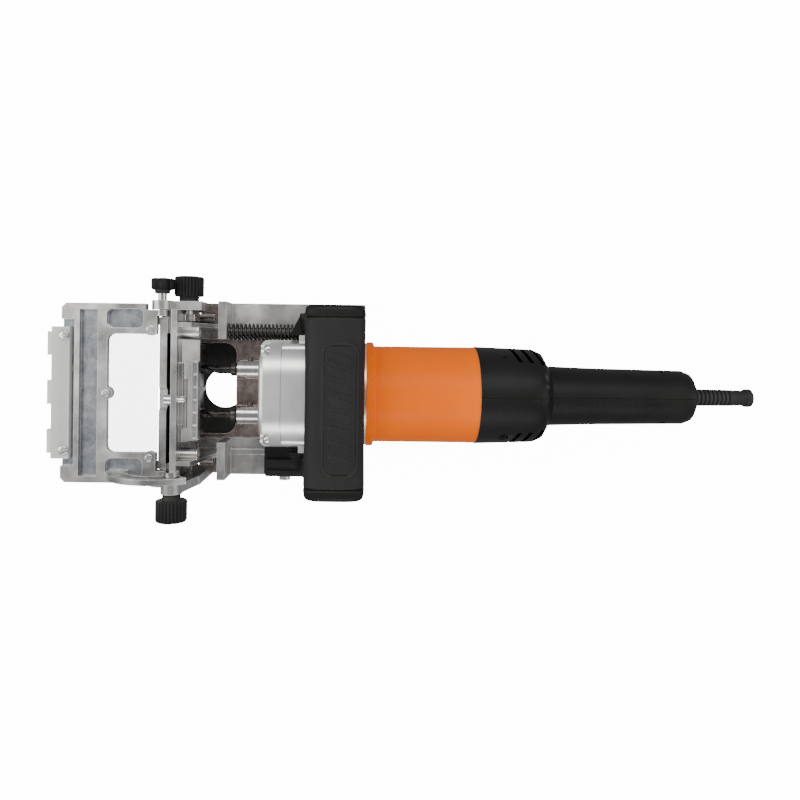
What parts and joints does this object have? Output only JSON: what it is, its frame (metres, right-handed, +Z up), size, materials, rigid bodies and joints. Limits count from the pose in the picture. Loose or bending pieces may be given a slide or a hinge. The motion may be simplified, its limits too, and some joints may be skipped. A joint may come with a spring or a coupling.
{
  "type": "dowel jointer",
  "caption": "Hand-held twin-spindle dowel jointer: motor on a spring-return slide, flat base and front plate, tilting fence with sight window and a bow handle.",
  "frame": {"origin": "the middle of the sole, in the tool's centre plane midway between the two bits; the drilling face that is held against the workpiece is at x = -0.07875 m", "axes": "+X runs back along the tool to the cable boot, +Y towards the side of the height knob, +Z up"},
  "size_m": [0.4934, 0.1635, 0.136],
  "materials": {
    "cast_aluminium": "bead-blasted and machined cast aluminium",
    "machined_steel": "turned bright steel",
    "zinc_screws": "bright zinc-plated screws",
    "black_steel": "black oxide",
    "black_plastic": "fine-textured black plastic",
    "grip_rubber": "soft charcoal overmould",
    "orange_paint": "satin orange enamel",
    "grey_plastic": "beige-grey plastic",
    "clear_acrylic": "clear, slightly smoked acrylic",
    "copper": "enamelled copper",
    "bronze": "sintered bronze",
    "lamination_steel": "stacked steel laminations",
    "carbon": "pressed carbon",
    "pad_rubber": "non-slip rubber"
  },
  "bodies": {
    "base": {"base_casting": "cast_aluminium", "front_plate": "cast_aluminium", "front_plate_screws": "zinc_screws", "centre_pin": "zinc_screws", "height_rack": "machined_steel", "slide_liner": "black_plastic", "chip_tray": "black_plastic", "guide_rod": "black_steel"},
    "depth_stop": {"depth_stop": "black_plastic", "depth_stop_screw": "zinc_screws"},
    "height_carrier": {"fence_carrier": "cast_aluminium", "registration_pads": "pad_rubber", "hinge_pin": "machined_steel", "pivot_lock_stud": "machined_steel", "angle_lock_stud": "machined_steel"},
    "height_knob": {"height_knob": "black_plastic", "height_pinion": "machined_steel"},
    "fence": {"fence_plate": "cast_aluminium", "sight_window": "clear_acrylic", "window_screws": "zinc_screws", "wear_strip": "grey_plastic", "strip_screws": "zinc_screws"},
    "angle_lock_knob": {"angle_lock_knob": "black_plastic"},
    "pivot_lock_knob": {"pivot_lock_knob": "black_plastic"},
    "carriage": {"gearbox_cover": "cast_aluminium", "gearbox_housing": "cast_aluminium", "gearbox_screws": "zinc_screws", "guide_bush": "bronze", "slide_shoe": "black_plastic", "handle_frame": "black_plastic", "handle_grip": "grip_rubber", "handle_end_caps": "black_plastic", "handle_screws": "zinc_screws", "motor_housing": "orange_paint", "rear_shell_right": "black_plastic", "rear_shell_left": "black_plastic", "rear_shell_screws": "black_steel", "cable_boot": "grip_rubber", "stator_core": "lamination_steel", "field_coils": "copper", "brush_holders": "bronze", "brushes": "carbon", "switch_body": "black_plastic", "spindle_bearings": "machined_steel", "motor_bearings": "machined_steel", "return_spring": "black_steel"},
    "switch_slider": {"switch_slider": "black_plastic"},
    "armature": {"armature_shaft": "machined_steel", "armature_core": "lamination_steel", "commutator": "copper", "fan": "black_plastic"},
    "spindle_right": {"spindle_sleeve_right": "machined_steel", "spindle_gear_right": "machined_steel", "drill_bit_right": "black_steel", "set_screw_right": "black_steel"},
    "spindle_left": {"spindle_sleeve_left": "machined_steel", "spindle_gear_left": "machined_steel", "drill_bit_left": "black_steel", "set_screw_left": "black_steel"}
  },
  "joints": [
    {"name": "plunge", "type": "slide", "parent": "base", "child": "carriage", "axis": [-1, 0, 0], "range_m": [0, 0.037], "stiffness_N_per_m": 400, "springref_m": -0.02, "deforming": ["return_spring"]},
    {"name": "armature_spin", "type": "hinge", "parent": "carriage", "child": "armature", "pos_m": [0.07125, 0, 0.045], "axis": [1, 0, 0], "continuous": true},
    {"name": "spindle_right_spin", "type": "hinge", "parent": "carriage", "child": "spindle_right", "pos_m": [0.00125, 0.016, 0.045], "axis": [1, 0, 0], "continuous": true},
    {"name": "spindle_left_spin", "type": "hinge", "parent": "carriage", "child": "spindle_left", "pos_m": [0.00125, -0.016, 0.045], "axis": [1, 0, 0], "continuous": true},
    {"name": "fence_height", "type": "slide", "parent": "base", "child": "height_carrier", "axis": [0, 0, 1], "range_m": [-0.007, 0.015]},
    {"name": "height_knob_turn", "type": "hinge", "parent": "height_carrier", "child": "height_knob", "pos_m": [-0.06175, 0.07, 0.051], "axis": [0, 1, 0], "range_deg": [-239, 112]},
    {"name": "fence_tilt", "type": "hinge", "parent": "height_carrier", "child": "fence", "pos_m": [-0.07675, 0, 0.065], "axis": [0, 1, 0], "range_deg": [0, 90]},
    {"name": "angle_lock_turn", "type": "hinge", "parent": "height_carrier", "child": "angle_lock_knob", "pos_m": [-0.06272, -0.07, 0.089], "axis": [0, -1, 0], "range_deg": [0, 270]},
    {"name": "pivot_lock_turn", "type": "hinge", "parent": "height_carrier", "child": "pivot_lock_knob", "pos_m": [-0.07675, 0.07, 0.065], "axis": [0, 1, 0], "range_deg": [0, 270]},
    {"name": "depth_stop_slide", "type": "slide", "parent": "base", "child": "depth_stop", "axis": [-1, 0, 0], "range_m": [-0.03, 0]},
    {"name": "switch_slide", "type": "slide", "parent": "carriage", "child": "switch_slider", "axis": [-1, 0, 0], "range_m": [0, 0.006]}
  ],
  "couplings": [
    {"joint": "spindle_right_spin", "follows": "armature_spin", "ratio": -0.66667},
    {"joint": "spindle_left_spin", "follows": "armature_spin", "ratio": -0.66667},
    {"joint": "height_knob_turn", "follows": "fence_height", "rad_per_m": -277.78}
  ]
}
